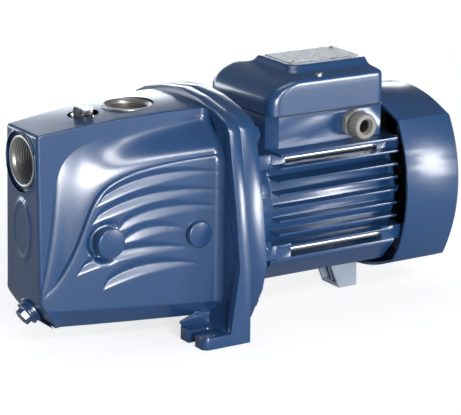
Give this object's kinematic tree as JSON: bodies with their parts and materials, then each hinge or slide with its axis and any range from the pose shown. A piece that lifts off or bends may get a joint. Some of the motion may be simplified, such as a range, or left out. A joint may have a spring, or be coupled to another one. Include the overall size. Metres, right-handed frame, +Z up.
{
  "type": "shallow well jet pump",
  "caption": "Self-priming jet pump with a cast casing, threaded suction and discharge ports, and a finned fan-cooled motor with a terminal box on top.",
  "frame": {"origin": "on the floor, under the middle of the pump's overall length and width", "axes": "+X along the shaft from the suction port towards the fan, +Y to the side away from the cable gland, +Z up along the discharge port"},
  "size_m": [0.4254, 0.206, 0.229],
  "materials": {
    "pump_body": "blue enamel on a grey iron casting, gloss",
    "motor_bracket": "blue enamel, gloss",
    "stator_housing": "blue enamel on finned aluminium",
    "rear_shield": "blue enamel",
    "fan_cover": "blue enamel on pressed sheet steel",
    "terminal_box_base": "blue enamel",
    "terminal_box_lid": "blue enamel",
    "drain_plug": "blue enamel",
    "priming_plug": "bright plated",
    "priming_plug_seal": "soft copper coloured washer",
    "drain_plug_seal": "soft copper coloured washer",
    "casing_seal": "nitrile rubber",
    "venturi_seal": "nitrile rubber",
    "ejector_nozzle": "moulded",
    "venturi_tube": "moulded",
    "diffuser": "moulded",
    "impeller": "cast and machined",
    "impeller_key": "ground",
    "impeller_nut": "plated",
    "seal_seat": "lapped alumina",
    "seal_seat_cup": "nitrile rubber",
    "seal_carbon_ring": "carbon",
    "seal_bellows": "nitrile rubber",
    "seal_retainer": "pressed stainless steel",
    "seal_spring": "stainless wire",
    "shaft": "turned stainless steel",
    "rotor_core": "electrical steel laminations",
    "rotor_cage": "pressure cast",
    "water_slinger": "nitrile rubber",
    "stator_core": "electrical steel laminations",
    "stator_winding": "varnished copper wire",
    "tie_rods": "zinc plated",
    "bearing_wave_spring": "spring steel",
    "fan": "moulded",
    "fan_clip": "spring steel",
    "fan_cover_screws": "zinc plated",
    "terminal_box_gasket": "foamed rubber",
    "lid_screws": "zinc plated",
    "terminal_board": "moulded phenolic",
    "terminal_studs": "turned",
    "capacitor": "moulded can",
    "capacitor_saddle": "moulded",
    "gland_body": "light grey nylon",
    "gland_locknut": "light grey nylon",
    "gland_nut": "light grey nylon",
    "gland_thrust_ring": "light grey nylon",
    "gland_seal": "soft rubber",
    "rating_plate": "satin anodised",
    "rating_plate_rivets": "bright",
    "motor_foot": "grey blue paint on die cast aluminium",
    "motor_foot_screws": "zinc plated",
    "flange_bolts": "painted over with the pump",
    "front_bearing_outer_ring": "ground",
    "front_bearing_inner_ring": "ground",
    "front_bearing_balls": "polished",
    "front_bearing_cage": "pressed",
    "rear_bearing_outer_ring": "ground",
    "rear_bearing_inner_ring": "ground",
    "rear_bearing_balls": "polished",
    "rear_bearing_cage": "pressed"
  },
  "bodies": {
    "pump": {"pump_body": "pump_body", "motor_bracket": "motor_bracket", "stator_housing": "stator_housing", "rear_shield": "rear_shield", "fan_cover": "fan_cover", "terminal_box_base": "terminal_box_base", "terminal_box_lid": "terminal_box_lid", "casing_seal": "casing_seal", "venturi_seal": "venturi_seal", "ejector_nozzle": "ejector_nozzle", "venturi_tube": "venturi_tube", "diffuser": "diffuser", "seal_seat": "seal_seat", "seal_seat_cup": "seal_seat_cup", "stator_core": "stator_core", "stator_winding": "stator_winding", "tie_rods": "tie_rods", "bearing_wave_spring": "bearing_wave_spring", "fan_cover_screws": "fan_cover_screws", "terminal_box_gasket": "terminal_box_gasket", "lid_screws": "lid_screws", "terminal_board": "terminal_board", "terminal_studs": "terminal_studs", "capacitor": "capacitor", "capacitor_saddle": "capacitor_saddle", "gland_body": "gland_body", "gland_locknut": "gland_locknut", "gland_seal": "gland_seal", "rating_plate": "rating_plate", "rating_plate_rivets": "rating_plate_rivets", "motor_foot": "motor_foot", "motor_foot_screws": "motor_foot_screws", "flange_bolts": "flange_bolts", "front_bearing_outer_ring": "front_bearing_outer_ring", "rear_bearing_outer_ring": "rear_bearing_outer_ring"},
    "rotor": {"shaft": "shaft", "rotor_core": "rotor_core", "rotor_cage": "rotor_cage", "impeller": "impeller", "impeller_nut": "impeller_nut", "impeller_key": "impeller_key", "seal_carbon_ring": "seal_carbon_ring", "seal_bellows": "seal_bellows", "seal_retainer": "seal_retainer", "seal_spring": "seal_spring", "water_slinger": "water_slinger", "front_bearing_inner_ring": "front_bearing_inner_ring", "rear_bearing_inner_ring": "rear_bearing_inner_ring", "fan": "fan", "fan_clip": "fan_clip"},
    "front_ball_set": {"front_bearing_balls": "front_bearing_balls", "front_bearing_cage": "front_bearing_cage"},
    "rear_ball_set": {"rear_bearing_balls": "rear_bearing_balls", "rear_bearing_cage": "rear_bearing_cage"},
    "priming_washer": {"priming_plug_seal": "priming_plug_seal"},
    "priming_screw": {"priming_plug": "priming_plug"},
    "drain_washer": {"drain_plug_seal": "drain_plug_seal"},
    "drain_screw": {"drain_plug": "drain_plug"},
    "gland_ring": {"gland_thrust_ring": "gland_thrust_ring"},
    "gland_cap": {"gland_nut": "gland_nut"}
  },
  "joints": [
    {"name": "rotor_spin", "type": "hinge", "parent": "pump", "child": "rotor", "pos_m": [-0.03485, 0, 0.104], "axis": [1, 0, 0], "continuous": true},
    {"name": "front_balls_roll", "type": "hinge", "parent": "pump", "child": "front_ball_set", "pos_m": [-0.03485, 0, 0.104], "axis": [1, 0, 0], "continuous": true},
    {"name": "rear_balls_roll", "type": "hinge", "parent": "pump", "child": "rear_ball_set", "pos_m": [-0.03485, 0, 0.104], "axis": [1, 0, 0], "continuous": true},
    {"name": "priming_plug_lift", "type": "slide", "parent": "pump", "child": "priming_washer", "axis": [0, 0, 1], "range_m": [0, 0.00668]},
    {"name": "priming_plug_turn", "type": "hinge", "parent": "priming_washer", "child": "priming_screw", "pos_m": [-0.14585, 0, 0.195], "axis": [0, 0, 1], "range_deg": [0, 1801]},
    {"name": "drain_plug_lift", "type": "slide", "parent": "pump", "child": "drain_washer", "axis": [-0.8192, 0, -0.5736], "range_m": [0, 0.00668]},
    {"name": "drain_plug_turn", "type": "hinge", "parent": "drain_washer", "child": "drain_screw", "pos_m": [-0.2003, 0, 0.02828], "axis": [-0.8192, 0, -0.5736], "range_deg": [0, 1801]},
    {"name": "gland_nut_lift", "type": "slide", "parent": "pump", "child": "gland_ring", "axis": [0, -1, 0], "range_m": [0, 0.006]},
    {"name": "gland_nut_turn", "type": "hinge", "parent": "gland_ring", "child": "gland_cap", "pos_m": [0.10715, -0.06, 0.173], "axis": [0, -1, 0], "range_deg": [0, 1441]}
  ],
  "couplings": [
    {"joint": "front_balls_roll", "follows": "rotor_spin", "ratio": 0.38175},
    {"joint": "rear_balls_roll", "follows": "rotor_spin", "ratio": 0.38175},
    {"joint": "priming_plug_turn", "follows": "priming_plug_lift", "rad_per_m": 4699.5},
    {"joint": "drain_plug_turn", "follows": "drain_plug_lift", "rad_per_m": 4699.5},
    {"joint": "gland_nut_turn", "follows": "gland_nut_lift", "rad_per_m": 4188.8}
  ]
}
